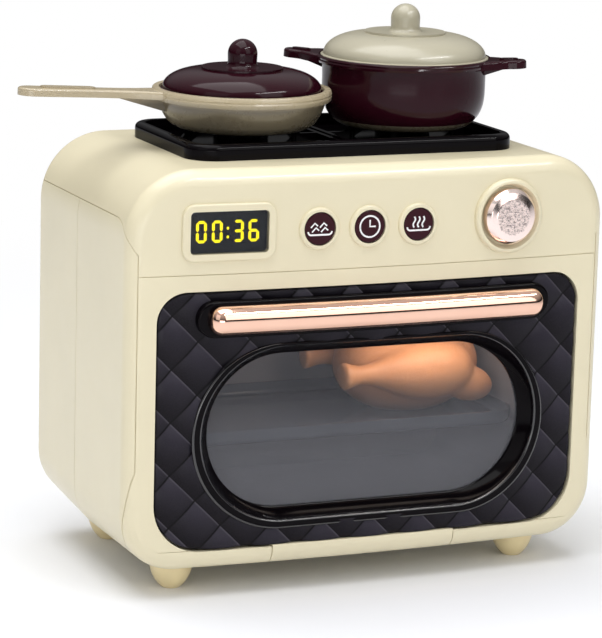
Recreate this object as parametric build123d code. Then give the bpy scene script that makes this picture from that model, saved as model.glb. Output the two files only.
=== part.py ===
from build123d import *
from math import asin, cos, degrees, sin, sqrt
import os

os.makedirs("parts", exist_ok=True)

# ---------------------------------------------------------------- driving dimensions, mm
# Frame while modelling: X to the right along the door, -Y out of the door, +Z up, floor at 0.

# Housing: a soft box with a front face that bows gently outwards.
housing_width = 240.0
housing_depth = 130.0
front_bow = 5.5
roof_z = 199.0
underside_z = 13.4
rear_lift = 5.0
upper_corner_r = 32.0
lower_corner_r = 26.0
outer_edge_r = 8.0
wall = 2.2

# Parting lines between the mouldings, with the shallow groove that shows outside.
panel_seam_z = 151.6
side_seam_z = 176.0
side_seam_x = 115.3
split_y = 4.6
side_panel_low_z = 24.5
side_arc_depth = 20.0
seam_width = 0.4
seam_depth = 0.6

# Door, opening and window.
door_width = 211.4
door_low_z = 23.4
door_high_z = 143.1
door_upper_r = 13.5
door_lower_r = 22.0
door_gap = 0.8
door_back_y = -57.6
skin = 2.4
quilt_pitch = 24.7
quilt_groove = 0.9
window_z = 76.6
window_width = 176.8
window_height = 85.6
bezel_taper = 5.6
pane_z = 77.8
pane_width = 157.6
pane_height = 73.0
mouth_height = 81.8
pane_thickness = 1.2
pane_ledge = 5.0

# Door handle.
handle_z = 131.4
handle_length = 166.6
handle_height = 13.6
handle_rise = 7.4
handle_step = 1.4
handle_corner_r = 5.6
handle_end_r = 6.0
plinth_length = 177.0
plinth_height = 17.0
plinth_rise = 3.8

# Hinge at the foot of the door, a little left of the middle.
hinge_x = -2.75
hinge_block_width = 92.0
hinge_inset = 4.3
hinge_z = 18.2
hinge_pin_r = 1.25
hinge_pin_length = 25.0
hinge_ear = 10.0
side_gap = 0.4

# Oven cavity, its tray and its food.
cavity_width = 176.0
cavity_low_z = 30.0
cavity_high_z = 138.0
cavity_back_y = 42.4
cavity_corner_r = 12.0
liner_wall = 1.6
bulkhead = 2.0
tray_low_z = 66.0
tray_height = 7.0
tray_wall = 1.4
tray_corner_r = 14.0
tray_front_y = -48.0
ledge_width = 4.0
roast_x = 47.0
roast_y = -3.0
lamp_r = 5.0

# Control panel.
control_z = 170.8
display_x = -73.3
display_width = 44.6
display_height = 26.4
lens_width = 36.9
lens_height = 19.1
bezel_rise = 1.3
button_xs = (-30.2, -5.6, 19.0)
button_names = ("roast", "timer", "steam")
button_ring_r = 9.9
button_cap_r = 7.45
button_ring_rise = 1.5
button_travel = 1.5
knob_x = 66.2
knob_z = 172.2
knob_ring_r = 17.7
knob_cap_r = 13.2
knob_rise = 5.2
spindle_r = 3.0

# Hob.
hob_x = 0.75
hob_width = 165.0
hob_depth = 90.0
hob_height = 7.3
hob_corner_r = 14.0
hob_rim = 4.8
hob_crown_r = 2.8
hob_lip_r = 0.7
hob_floor = 2.2
burner_x = 41.75
burner_r = 13.0
grate_gap = 2.4
grate_bar = 2.2
grate_height = 2.4
grate_rest_r = 26.6
grate_bead_r = 1.7
pan_rest_z = 207.3
pot_rest_z = 206.1

# Cookware.
cook_wall = 1.8
root = 0.4
base_height = 3.7
pan_rim_r = 42.3
pan_height = 18.9
pan_handle_reach = 107.8
pan_handle_turn = 4.0
pan_handle_tilt = 2.4
pot_rim_r = 42.0
pot_height = 33.2
pot_handle_reach = 58.9
pot_handle_turn = -34.5
lid_wall = 1.6
lid_flange = 1.5
lid_step_r = 19.2
lid_knob_r = 7.0
lid_knob_height = 13.0

# Feet, power and fixings.
foot_x = 88.6
foot_y = 43.0
foot_r = 10.0
foot_flat_r = 4.5
battery_r = 7.1
battery_length = 50.0
battery_low_z = 47.0
battery_count = 3
battery_pitch = 15.3
speaker_x = -70.0
speaker_z = 112.0
speaker_r = 14.0
post_x = 106.0
post_zs = (38.0, 130.0)
post_r = 4.5
screw_r = 1.5
screw_head_r = 2.9
screw_length = 16.0

# Named clearances.
running = 0.05
touch = 0.15
loose = 0.35

# ---------------------------------------------------------------- worked-out places
half_width = housing_width / 2
front_y = -housing_depth / 2
back_y = housing_depth / 2
bow_r = (half_width**2 + front_bow**2) / (2 * front_bow)
bow_axis_y = front_y - front_bow + bow_r
opening_half = door_width / 2 + door_gap
hinge_y = front_y - front_bow + hinge_inset
bulkhead_y = door_back_y + loose
liner_front_y = bulkhead_y + bulkhead
pane_y = door_back_y - 3.0 + touch
far = 400.0


# ---------------------------------------------------------------- shared forms
def front_at(x):
    """Y of the bowed front face at a given X."""
    return bow_axis_y - sqrt(bow_r**2 - x**2)


def face_frame(x, z):
    """A plane lying on the bowed face, its normal pointing out of the oven."""
    turn = asin(x / bow_r)
    return Plane(origin=(x, front_at(x), z), x_dir=(cos(turn), sin(turn), 0), z_dir=(sin(turn), -cos(turn), 0))


def on_face(x, z, solid):
    return face_frame(x, z).location * solid


def outline(half, low, high, r_low, r_high):
    """A box outline in X and Z with its own lower and upper corner radii."""
    shape = Pos(0, (low + high) / 2) * Rectangle(2 * half, high - low)
    shape = fillet(shape.vertices().sort_by(Axis.Y)[:2], r_low)
    return fillet(shape.vertices().sort_by(Axis.Y)[-2:], r_high)


def stadium(width, height, z):
    return Pos(0, z) * SlotOverall(width, height)


def prism_y(sketch, y_from, y_to):
    """Extrude an X-Z sketch from y_to forwards to y_from."""
    plane = Plane(origin=(0, y_to, 0), x_dir=(1, 0, 0), z_dir=(0, -1, 0))
    return extrude(plane * sketch, amount=y_to - y_from)


def prism_x(sketch, x_from, x_to):
    """Extrude a Y-Z sketch from x_from to x_to."""
    plane = Plane(origin=(x_from, 0, 0), x_dir=(0, 1, 0), z_dir=(1, 0, 0))
    return extrude(plane * sketch, amount=x_to - x_from)


def block(x0, x1, y0, y1, z0, z1):
    return Pos((x0 + x1) / 2, (y0 + y1) / 2, (z0 + z1) / 2) * Box(x1 - x0, y1 - y0, z1 - z0)


def rod_y(x, z, radius, y0, y1):
    return Pos(x, (y0 + y1) / 2, z) * Rot(90, 0, 0) * Cylinder(radius, y1 - y0)


def rod_x(y, z, radius, x0, x1):
    return Pos((x0 + x1) / 2, y, z) * Rot(0, 90, 0) * Cylinder(radius, x1 - x0)


def rod_z(radius, z0, z1):
    return Pos(0, 0, (z0 + z1) / 2) * Cylinder(radius, z1 - z0)


def behind_bow(inset):
    """Everything that lies behind the bowed face when it is set back by inset."""
    return Pos(0, bow_axis_y, 0) * Cylinder(bow_r - inset, far * 2)


def at_hinge(solid):
    return Pos(hinge_x, 0, 0) * solid


def both(solid):
    """A piece and its mirror image across the middle of the oven."""
    return solid + mirror(solid, about=Plane.YZ)


def envelope(inset):
    """The soft outer form of the housing, set in by inset all round."""
    half = half_width - inset
    high = roof_z - inset
    r_low = lower_corner_r - inset
    r_high = upper_corner_r - inset
    edge = outer_edge_r - inset
    front = prism_y(outline(half, underside_z + inset, high, r_low, r_high), front_y - front_bow - 2, split_y)
    front &= behind_bow(inset)
    front = fillet(front.faces().sort_by(Axis.Y)[0].edges(), edge)
    sections = []
    for y, lift in ((split_y, 0.0), (back_y - inset, rear_lift)):
        plane = Plane(origin=(0, y, 0), x_dir=(1, 0, 0), z_dir=(0, -1, 0))
        sections.append(plane * outline(half, underside_z + lift + inset, high, r_low, r_high))
    rear = loft(sections)
    rear = fillet(rear.faces().sort_by(Axis.Y)[-1].edges(), edge)
    return front + rear


# ---------------------------------------------------------------- regions that part the mouldings
def side_region(grow):
    """The side panels' share of the shell: a rounded outline seen from the side."""
    low_z = side_panel_low_z - grow
    high_z = side_seam_z + grow
    back = split_y + grow
    arc_y = front_y + side_arc_depth - 1.5
    front_edge = arc_y - side_arc_depth - grow
    clear_y = front_y - front_bow - 10
    points = [
        (back, high_z),
        (back, low_z - 2.0),
        (front_y + 7.0 - grow, low_z),
        (front_y + 3.5 - grow, low_z + 18),
        (front_edge, low_z + 46),
        (clear_y, low_z + 46),
        (clear_y, panel_seam_z),
        (front_edge, panel_seam_z),
    ]
    arc = EllipticalCenterArc(
        (arc_y, panel_seam_z), side_arc_depth + grow, high_z - panel_seam_z, start_angle=90, arc_size=90
    )
    edges = Polyline(*points) + arc + Line((arc_y, high_z), (back, high_z))
    shape = make_face(edges)
    foot = shape.vertices().sort_by_distance((front_y + 7.0 - grow, low_z))[0]
    shape = fillet(foot, 6.0)
    return both(prism_x(shape, side_seam_x - grow, half_width + 5))


def rear_region(grow):
    return block(-half_width - 5, half_width + 5, split_y - grow, back_y + 5, 0, side_seam_z + grow)


def front_region(grow):
    return block(-half_width - 5, half_width + 5, front_y - front_bow - 5, split_y, 0, panel_seam_z + grow)


def seam_grooves(outer):
    """Shallow grooves that show every parting line on the outside."""
    half = seam_width / 2
    surface = outer - envelope(seam_depth)
    bands = side_region(half) - side_region(-half)
    bands += rear_region(half) - rear_region(-half) - block(-far, far, -far, far, -far, 0)
    line = front_region(half) - front_region(-half)
    bands += (line & block(-side_seam_x, side_seam_x, -far, front_y + 2 * outer_edge_r, 0, far))
    return surface & bands


outer_form = envelope(0)
inner_form = envelope(wall)
shell = outer_form - inner_form - seam_grooves(outer_form)
door_outline = outline(door_width / 2, door_low_z, door_high_z, door_lower_r, door_upper_r)
opening_outline = outline(
    opening_half, door_low_z - door_gap, door_high_z + door_gap, door_lower_r + door_gap, door_upper_r + door_gap
)
cavity_outline = outline(cavity_width / 2, cavity_low_z, cavity_high_z, cavity_corner_r, cavity_corner_r)


# ---------------------------------------------------------------- housing mouldings
def front_frame():
    """Front moulding: bowed face, door opening with its jamb, bulkhead, hinge ears and screw posts."""
    body = (shell & front_region(0)) - side_region(0)
    jamb = prism_y(offset(opening_outline, bulkhead), -far, liner_front_y) & envelope(seam_depth * 2)
    body += jamb & front_region(0)
    plate = prism_y(Rectangle(far * 2, far * 2), bulkhead_y, liner_front_y) & envelope(wall)
    body += plate & front_region(0)
    ear_x = hinge_block_width / 2 + side_gap
    reach = ear_x + hinge_ear
    ears = block(-reach, reach, -far, liner_front_y, 0, door_low_z - door_gap)
    body += at_hinge(ears) & outer_form
    for x in (-post_x, post_x):
        for z in post_zs:
            body += rod_y(x, z, post_r, liner_front_y, post_end_y)
            body -= rod_y(x, z, screw_r, post_end_y - screw_length, post_end_y)
    body -= prism_y(opening_outline, -far, bulkhead_y)
    body -= prism_y(cavity_outline, -far, far)
    body -= at_hinge(block(-ear_x, ear_x, -far, bulkhead_y, 0, door_low_z))
    body -= at_hinge(rod_x(hinge_y, hinge_z, hinge_pin_r + running, -reach - 2, reach + 2))
    # The lip under the door is rounded off to the path that the door's lower edge swings through.
    swing = door_low_z - hinge_z - touch
    lip = block(-opening_half, opening_half, -far, hinge_y, hinge_z + swing / 2, door_low_z)
    return body - (lip - rod_x(hinge_y, hinge_z, swing, -far, far))


def raised_ring(radius, rise, hole, x, z):
    """A rounded collar standing on the bowed face, with a through hole."""
    ring = rod_z(radius, -wall, rise)
    ring = fillet(ring.edges().sort_by(Axis.Z)[-1], rise * 0.8)
    return on_face(x, z, ring), on_face(x, z, rod_z(hole, -wall * 4, rise * 3))


def top_shell():
    """Roof and control panel in one moulding, with bezel, button collars, knob dish and board posts."""
    body = shell - front_region(0) - rear_region(0) - side_region(0)
    bezel = extrude(RectangleRounded(display_width, display_height, 6), amount=bezel_rise + wall)
    bezel = fillet(bezel.faces().sort_by(Axis.Z)[-1].edges(), bezel_rise * 0.8)
    body += on_face(display_x, control_z, Pos(0, 0, -wall) * bezel)
    hole = extrude(RectangleRounded(lens_width + 2 * touch, lens_height + 2 * touch, 2), amount=wall * 4)
    body -= on_face(display_x, control_z, Pos(0, 0, -wall * 2) * hole)
    for x in button_xs:
        ring, hole = raised_ring(button_ring_r, button_ring_rise, button_cap_r + loose, x, control_z)
        body = body + ring - hole
    dish_r = knob_cap_r + 2 * loose
    ring = rod_z(knob_ring_r, -wall, 2.4)
    ring = fillet(ring.edges().sort_by(Axis.Z)[-1], 2.0)
    socket = Pos(0, 0, -knob_dish) * Cone(dish_r, dish_r + 1.6, 2.4 + knob_dish, align=(Align.CENTER,) * 2 + (Align.MIN,))
    neck = rod_z(spindle_r + 4, -switch_depth, -knob_dish)
    body += on_face(knob_x, knob_z, ring + neck)
    body -= on_face(knob_x, knob_z, socket + rod_z(spindle_r + running, -far / 10, 3))
    for x in board_post_xs:
        for z in (control_z - 8, control_z + 8):
            body += rod_y(x, z, 2.6, front_at(x) + wall / 2, board_y) & inner_or_wall
    return body


def rear_shell():
    """Back half with screw wells, sound slots and the battery box."""
    body = shell & rear_region(0)
    rear_inside = back_y - wall
    box_half = battery_box_half + liner_wall
    z0 = battery_low_z - liner_wall
    z1 = battery_high_z + liner_wall
    body += block(-box_half, box_half, battery_back_y - liner_wall, rear_inside, z0, z1)
    for x in (-post_x, post_x):
        for z in post_zs:
            body += rod_y(x, z, screw_head_r + 2.6, post_end_y, rear_inside)
            body -= rod_y(x, z, screw_head_r + loose, screw_seat_y, back_y + 1)
            body -= rod_y(x, z, screw_r + touch, post_end_y, screw_seat_y)
    body -= block(-battery_box_half, battery_box_half, battery_back_y, far, battery_low_z, battery_high_z)
    cover = battery_cover_form(touch)
    body -= cover
    boss_z = battery_high_z + liner_wall + 4
    body += rod_y(0, boss_z, 4.5, battery_back_y, rear_inside) - cover
    body -= rod_y(0, boss_z, screw_r, battery_back_y + 2, rear_inside)
    for row in range(-3, 4):
        reach = sqrt(max((speaker_r - 2) ** 2 - (row * 4.0) ** 2, 4.0))
        slot = Pos(speaker_x, speaker_z + row * 4.0) * SlotOverall(2 * reach, 1.6)
        body -= prism_y(slot, rear_inside - 1, back_y + 1)
    return body


def battery_cover_form(grow):
    """Outline of the battery cover, a plate with a tab for its screw, let into the rear wall."""
    half = battery_box_half + 1.0 + grow
    low = battery_low_z - 1.0 - grow
    high = battery_high_z + liner_wall + 9 + grow
    return prism_y(outline(half, low, high, 3, 3), back_y - wall, back_y)


def battery_cover():
    """Screwed cover with finger ribs along its lower end."""
    body = battery_cover_form(0)
    for k in range(4):
        z = battery_low_z + 4 + k * 3
        body += prism_y(Pos(0, z) * SlotOverall(26, 1.2), back_y - 0.5, back_y + 0.5)
    boss_z = battery_high_z + liner_wall + 4
    body -= rod_y(0, boss_z, screw_r + touch, back_y - wall, back_y)
    return body - rod_y(0, boss_z, screw_head_r + touch, back_y - 1.0, back_y)


def feet():
    """Four domed feet, cut to the form of the underside that they carry."""
    arc = ThreePointArc((foot_flat_r, 0), (foot_r - 2.4, 3.6), (foot_r, 10))
    edges = Line((0, 0), (foot_flat_r, 0)) + arc
    edges += Polyline((foot_r, 10), (foot_r, underside_z + 14), (0, underside_z + 14), (0, 0))
    dome = revolve(Plane.XZ * make_face(edges), Axis.Z)
    one = [Pos(x, y, 0) * dome - outer_form for x in (-foot_x, foot_x) for y in (-foot_y, foot_y)]
    return Compound([piece.solids().sort_by(Axis.Z)[0] for piece in one])


# ---------------------------------------------------------------- oven cavity and what is in it
def oven_liner():
    """Open-fronted box with rounded corners and a ledge on each side for the tray."""
    body = prism_y(offset(cavity_outline, liner_wall), liner_front_y, cavity_back_y + liner_wall)
    body -= prism_y(cavity_outline, -far, cavity_back_y)
    ledge = block(cavity_width / 2 - ledge_width, cavity_width / 2, liner_front_y + 6, cavity_back_y, 0, tray_low_z)
    ledge -= block(0, far, -far, far, 0, tray_low_z - 2)
    body += both(ledge)
    return body - Pos(0, 0, cavity_high_z) * Cylinder(lamp_r, 8)


def oven_tray():
    """Baking tray with rounded corners and a rolled lip."""
    width = cavity_width - 2 * loose
    depth = cavity_back_y - loose - tray_front_y
    middle = Pos(0, tray_front_y + depth / 2, tray_low_z)
    body = extrude(RectangleRounded(width, depth, tray_corner_r), amount=tray_height)
    body = fillet(body.faces().sort_by(Axis.Z)[0].edges(), 3)
    inner = extrude(
        RectangleRounded(width - 2 * tray_wall, depth - 2 * tray_wall, tray_corner_r - tray_wall), amount=tray_height
    )
    inner = fillet(inner.faces().sort_by(Axis.Z)[0].edges(), 2)
    return middle * (body - Pos(0, 0, tray_wall) * inner)


def teardrop(length, big_r, small_r, knob_r):
    """A drumstick turned about X: round thigh at the origin, thin shank, knuckle at the far end."""
    start = (big_r * 0.95, 0)
    edges = Spline(
        start,
        (0, big_r),
        (-length * 0.45, (big_r + small_r) * 0.62),
        (-length * 0.8, small_r),
        (-length * 0.93, knob_r),
        (-length, 0),
        tangents=((0, 1), (0, -1)),
    )
    return revolve(make_face(edges + Line((-length, 0), start)), Axis.X)


def roast_chicken():
    """Roast chicken: plump body, two drumsticks, two wings, flat where it lies in the tray."""
    floor_z = tray_low_z + tray_wall
    body = Pos(roast_x, roast_y, floor_z + 22) * scale(Sphere(1), by=(37, 27, 24))
    for side in (-1, 1):
        leg = teardrop(57, 13.6, 4.8, 6.2)
        body += Pos(roast_x + 12, roast_y + side * 20, floor_z + 22.6) * Rot(0, 0, side * -4) * leg
        wing = scale(Sphere(1), by=(14, 7, 9))
        body += Pos(roast_x + 23, roast_y + side * 22, floor_z + 15) * Rot(0, 14, 0) * wing
    return body - block(-far, far, -far, far, 0, floor_z)


def oven_lamp():
    """Small domed lamp lens let through the cavity ceiling."""
    stem = rod_z(lamp_r - touch, cavity_high_z, cavity_high_z + liner_wall + 4)
    lens = rod_z(lamp_r + 1.5, cavity_high_z - 3, cavity_high_z)
    lens = fillet(lens.edges().sort_by(Axis.Z)[0], 2.5)
    return stem + lens


# ---------------------------------------------------------------- door
def quilt_grooves():
    """Crossed rows of vee grooves that follow the bow and leave pillowed diamonds."""
    depth = quilt_groove
    reach = door_width / 2 + 4
    pitch = quilt_pitch
    bow_here = bow_r * 2
    turn = degrees(asin(reach * sqrt(2) / bow_here))
    start = front_y - front_bow
    vee = Polyline((-depth - 1.0, 1.0), (0, -depth), (depth + 1.0, 1.0), close=True)
    cutter = Plane(origin=(0, start, 0), x_dir=(0, 0, 1), z_dir=(1, 0, 0)) * make_face(vee)
    axis = Axis((0, start + bow_here, 0), (0, 0, 1))
    arc = revolve(cutter.rotate(axis, -turn), axis, 2 * turn)
    count = int((reach * 2 + door_high_z - door_low_z) / pitch / 2) + 2
    rows = []
    for k in range(-count, count + 1):
        for lean in (45, -45):
            rows.append(Pos(0, 0, quilt_z + k * pitch) * arc.rotate(Axis((0, 0, 0), (0, 1, 0)), lean))
    return rows


def door_panel():
    """Quilted outer skin of the door, bowed like the housing, open for the window."""
    body = prism_y(door_outline, -far, door_back_y) & (behind_bow(0) - behind_bow(skin))
    body &= block(-far, far, -far, door_back_y, -far, far)
    body -= prism_y(stadium(window_width, window_height, window_z), -far, far)
    for groove in quilt_grooves():
        body -= groove
    return body


def door_frame():
    """Door body behind the skin: seats the bezel and pane, and takes the hinge tongue."""
    body = prism_y(door_outline, -far, door_back_y) & behind_bow(skin)
    body -= prism_y(stadium(window_width, window_height, window_z), -far, pane_y)
    body -= prism_y(stadium(*pane_size, pane_z), pane_y - 1, pane_y + pane_thickness)
    body -= prism_y(stadium(pane_width - 3, pane_height - 3, pane_z), -far, far)
    body -= at_hinge(hinge_tongue(touch))
    for x, z in door_screw_places:
        body -= rod_y(x, z, screw_head_r + touch, door_back_y - 1.6, door_back_y)
        body -= rod_y(x, z, 1.2, door_back_y - 5, door_back_y)
    return body


def window_bezel():
    """Recessed surround: a flat ring at the face and a wall that tapers in to the pane."""
    body = prism_y(stadium(window_width - 2 * touch, window_height - 2 * touch, window_z), -far, pane_y)
    body &= behind_bow(-0.3)
    mouth_y = front_y - front_bow - 2
    inner = stadium(pane_width, pane_height, pane_z)
    mouth = stadium(pane_width + 2 * bezel_taper, mouth_height, window_z)
    rings = []
    for y, ring in ((pane_y, inner), (mouth_y, mouth)):
        rings.append(Plane(origin=(0, y, 0), x_dir=(1, 0, 0), z_dir=(0, -1, 0)) * ring)
    return body - loft(rings)


def window_pane():
    width, height = pane_size
    return prism_y(stadium(width - 2 * touch, height - 2 * touch, pane_z), pane_y, pane_y + pane_thickness)


def hinge_tongue(grow):
    half = hinge_block_width / 2 - 8 + grow
    return block(-half, half, door_back_y - 4.4, door_back_y, door_low_z, door_low_z + 10 + grow)


def hinge_block():
    """Cream block under the door that carries the pins and a tongue screwed to the door."""
    half = hinge_block_width / 2
    body = at_hinge(block(-half, half, -far, door_back_y - 1.4, 0, door_low_z)) & outer_form
    body += at_hinge(hinge_tongue(0) & block(-far, far, -far, door_back_y - 1.4, 0, far))
    for side in (-1, 1):
        body -= at_hinge(rod_x(hinge_y, hinge_z, hinge_pin_r, *sorted((side * half, side * (half - pin_hold)))))
        body -= at_hinge(rod_y(side * tongue_screw_x, door_low_z + 5, 1.2, -far / 4, door_back_y))
    return body


def hinge_pins():
    """Two short steel pins, fast in the hinge block and free in the housing's ears."""
    start = hinge_block_width / 2 - pin_hold
    pin = rod_x(hinge_y, hinge_z, hinge_pin_r, start, start + hinge_pin_length)
    return Compound([at_hinge(pin), at_hinge(mirror(pin, about=Plane.YZ))])


def bow_slice(sketch, inner, outer):
    """The part of an X-Z prism between two surfaces that stand off the bowed face."""
    ring = (behind_bow(-outer) - behind_bow(-inner)) & block(-far, far, -far, front_y + 20, -far, far)
    return prism_y(sketch, -far / 2, front_y + 5) & ring


def handle_plinth():
    """Black oblong base of the handle, rounded at its ends and along its front edge."""
    body = bow_slice(stadium(plinth_length, plinth_height, handle_z), 0, plinth_rise)
    return fillet(body.faces().sort_by(Axis.Y)[0].edges(), 1.2)


def door_handle():
    """Plump half-round bar that follows the bow, rounded at its ends in both directions."""
    half = handle_height / 2
    base = plinth_rise
    shoulder = base + handle_step
    section = Polyline((half, shoulder), (half, base), (-half, base), (-half, shoulder))
    section += EllipticalCenterArc((0, shoulder), half, handle_rise - handle_step, start_angle=0, arc_size=180)
    plane = Plane(origin=(0, front_y - front_bow, handle_z), x_dir=(0, 0, 1), z_dir=(1, 0, 0))
    axis = Axis((0, bow_axis_y, 0), (0, 0, 1))
    turn = degrees(asin((handle_length / 2 + 8) / bow_r))
    bar = revolve((plane * make_face(section)).rotate(axis, -turn), axis, 2 * turn)
    corners = Pos(0, handle_z) * RectangleRounded(handle_length, handle_height + 0.4, handle_corner_r)
    bar &= prism_y(corners, -far, front_y + 5)
    end_x = handle_length / 2 - handle_end_r
    end_y = front_at(end_x) - base - handle_rise + handle_end_r
    keep = block(-end_x, end_x, -far, 0, 0, far)
    keep += block(-far, far, end_y, 0, 0, far)
    for side in (-1, 1):
        keep += Pos(side * end_x, end_y, far / 2) * Cylinder(handle_end_r, far)
    return bar & keep


# ---------------------------------------------------------------- control panel pieces
def display_lens():
    lens = extrude(RectangleRounded(lens_width, lens_height, 2), amount=wall + 0.6)
    return on_face(display_x, control_z, Pos(0, 0, -wall) * lens)


def display_module():
    """Readout behind the lens."""
    module = extrude(RectangleRounded(lens_width + 3, lens_height + 3, 1), amount=5)
    return on_face(display_x, control_z, Pos(0, 0, -wall - 5 - touch) * module)


def button_cap(x):
    """Round key cap with a retaining flange and a stem to its switch."""
    cap = rod_z(button_cap_r, -wall - touch, button_ring_rise - 0.3)
    cap = fillet(cap.edges().sort_by(Axis.Z)[-1], 0.5)
    cap += rod_z(button_cap_r + 1.5, -wall - touch - 1.4, -wall - touch)
    depth = board_y - switch_height - button_travel - 0.2 - front_at(x)
    return on_face(x, control_z, cap + rod_z(2, -depth, -wall))


def control_board():
    """Circuit board with one push switch under each cap."""
    body = block(board_post_xs[0] - 5, board_post_xs[1] + 5, board_y, board_y + 1.6, control_z - 11, control_z + 11)
    for x in button_xs:
        body += block(x - 3, x + 3, board_y - switch_height, board_y, control_z - 3, control_z + 3)
    return body


def knob_cap():
    """Turned metal-look knob: shallow dished face with a bevelled rim, on a hub that grips the spindle."""
    low = -knob_dish + loose
    lip = knob_cap_r - 2.6
    edges = Polyline(
        (0, knob_rise - 0.4),
        (0, spindle_top),
        (spindle_r, spindle_top),
        (spindle_r, low),
        (knob_cap_r - 0.4, low),
        (knob_cap_r, low + 0.8),
        (knob_cap_r, knob_rise - 2.4),
        (lip + 0.6, knob_rise),
        (lip, knob_rise),
        (lip - 0.4, knob_rise - 0.4),
        close=True,
    )
    return on_face(knob_x, knob_z, revolve(Plane.XZ * make_face(edges), Axis.Z))


def knob_spindle():
    return on_face(knob_x, knob_z, rod_z(spindle_r, -switch_depth - 5, spindle_top))


def rotary_switch():
    body = Pos(0, 0, -switch_depth - 6) * extrude(RectangleRounded(14, 14, 1.5), amount=6)
    return on_face(knob_x, knob_z, body - rod_z(spindle_r + running, -switch_depth - 5.2, 0))


# ---------------------------------------------------------------- hob
def rest_height(side):
    """Height above the floor at which the cookware of one side stands."""
    return pan_rest_z if side < 0 else pot_rest_z


def hob_tray():
    """Shallow dished plate with a thick rounded rim."""
    body = extrude(RectangleRounded(hob_width, hob_depth, hob_corner_r), amount=hob_height)
    body = fillet(body.faces().sort_by(Axis.Z)[-1].edges(), hob_crown_r)
    well_width = hob_width - 2 * hob_rim
    well = extrude(RectangleRounded(well_width, hob_depth - 2 * hob_rim, hob_corner_r - hob_rim), amount=hob_height)
    body -= Pos(0, 0, hob_floor) * well
    crown = body.faces().filter_by(Plane.XY).sort_by(Axis.Z)[-1]
    return Pos(hob_x, 0, roof_z) * fillet(crown.inner_wires()[0].edges(), hob_lip_r)


def grate(side):
    """Pan support: a frame of low bars and four fingers that rise to a rounded rest below the pan."""
    inner_x = grate_gap / 2
    outer_x = hob_width / 2 - hob_rim - loose
    width = outer_x - inner_x
    depth = hob_depth - 2 * hob_rim - 2 * loose
    centre = (inner_x + outer_x) / 2
    corner_r = hob_corner_r - hob_rim - loose
    frame = extrude(RectangleRounded(width, depth, corner_r), amount=grate_height)
    opening = RectangleRounded(width - 2 * grate_bar, depth - 2 * grate_bar, corner_r - grate_bar)
    body = Pos(centre, 0, 0) * (frame - extrude(opening, amount=grate_height))
    rise = rest_height(side) - roof_z - hob_floor
    reaches = (outer_x - burner_x, depth / 2, burner_x - inner_x, depth / 2)
    for turn, reach in zip((0, 90, 180, 270), reaches):
        profile = Polyline(
            (grate_rest_r - 6, rise - 1.8),
            (grate_rest_r - 6, rise),
            (grate_rest_r, rise),
            (grate_rest_r + 3.2, grate_height),
            (reach - 0.5, grate_height),
            (reach - 0.5, 0),
            (grate_rest_r - 1, 0),
            close=True,
        )
        finger = extrude(Plane.XZ * make_face(profile), amount=grate_bar / 2, both=True)
        rest = Pos(grate_rest_r, 0, 0) * rod_z(grate_bead_r, 0, rise)
        finger += fillet(rest.edges().sort_by(Axis.Z)[-1], 0.7)
        body += Pos(burner_x, 0, 0) * Rot(0, 0, turn) * finger
    if side < 0:
        body = mirror(body, about=Plane.YZ)
    return Pos(hob_x, 0, roof_z + hob_floor) * body


def burner(side):
    """Burner cap: a stepped disc with a ring of flame slots."""
    body = rod_z(burner_r, 0, 2.6)
    top = rod_z(burner_r - 3, 2.6, 4.0)
    body += fillet(top.edges().sort_by(Axis.Z)[-1], 0.8)
    for k in range(12):
        body -= Rot(0, 0, k * 30) * block(burner_r - 1.6, burner_r + 1, -0.6, 0.6, 1.2, 2.6)
    return Pos(hob_x + side * burner_x, 0, roof_z + hob_floor) * body


# ---------------------------------------------------------------- cookware
# Each piece is made about its own axis, standing at height 0, then set on its burner.
def on_burner(side, piece):
    return Pos(hob_x + side * burner_x, 0, rest_height(side)) * piece


def turned(edges):
    return revolve(Plane.XZ * make_face(edges), Axis.Z)


def cook_base(low_r, high_r):
    """Clip-on base ring with two grooves underneath."""
    edges = Line((0, 0), (low_r, 0)) + ThreePointArc(
        (low_r, 0), (low_r + (high_r - low_r) * 0.62, base_height * 0.4), (high_r, base_height)
    )
    edges += Polyline((high_r, base_height), (0, base_height), (0, 0))
    body = turned(edges)
    for r in (low_r - 3, low_r - 8):
        body -= Pos(0, 0, 0.3) * (Cylinder(r, 0.6) - Cylinder(r - 1.2, 0.6))
    return body


def vessel(base_r, side, rim_r, height, seat_r, seat_depth):
    """Bowl, rim with a bead groove, and the inner step that the lid sits on."""
    wall_r = side[-1][0]
    rim_low = side[-1][1]
    edges = Line((0, base_height), (base_r, base_height))
    edges += Spline((base_r, base_height), *side)
    mid = (rim_low + height) / 2 + 0.2
    edges += Polyline(
        side[-1],
        (rim_r - 0.5, rim_low + 0.2),
        (rim_r, mid - 0.7),
        (rim_r - 0.35, mid),
        (rim_r, mid + 0.7),
        (rim_r - 0.3, height - 0.4),
        (rim_r - 0.7, height),
        (seat_r + 0.3, height),
        (seat_r, height - seat_depth),
        (wall_r - cook_wall, height - seat_depth),
    )
    inner = [(r - cook_wall, z) for r, z in side[:-1]]
    inner_low = (base_r - cook_wall - 1, base_height + cook_wall)
    edges += Spline((wall_r - cook_wall, height - seat_depth), *inner[::-1], inner_low)
    edges += Polyline(inner_low, (0, base_height + cook_wall), (0, base_height))
    return turned(edges)


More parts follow.
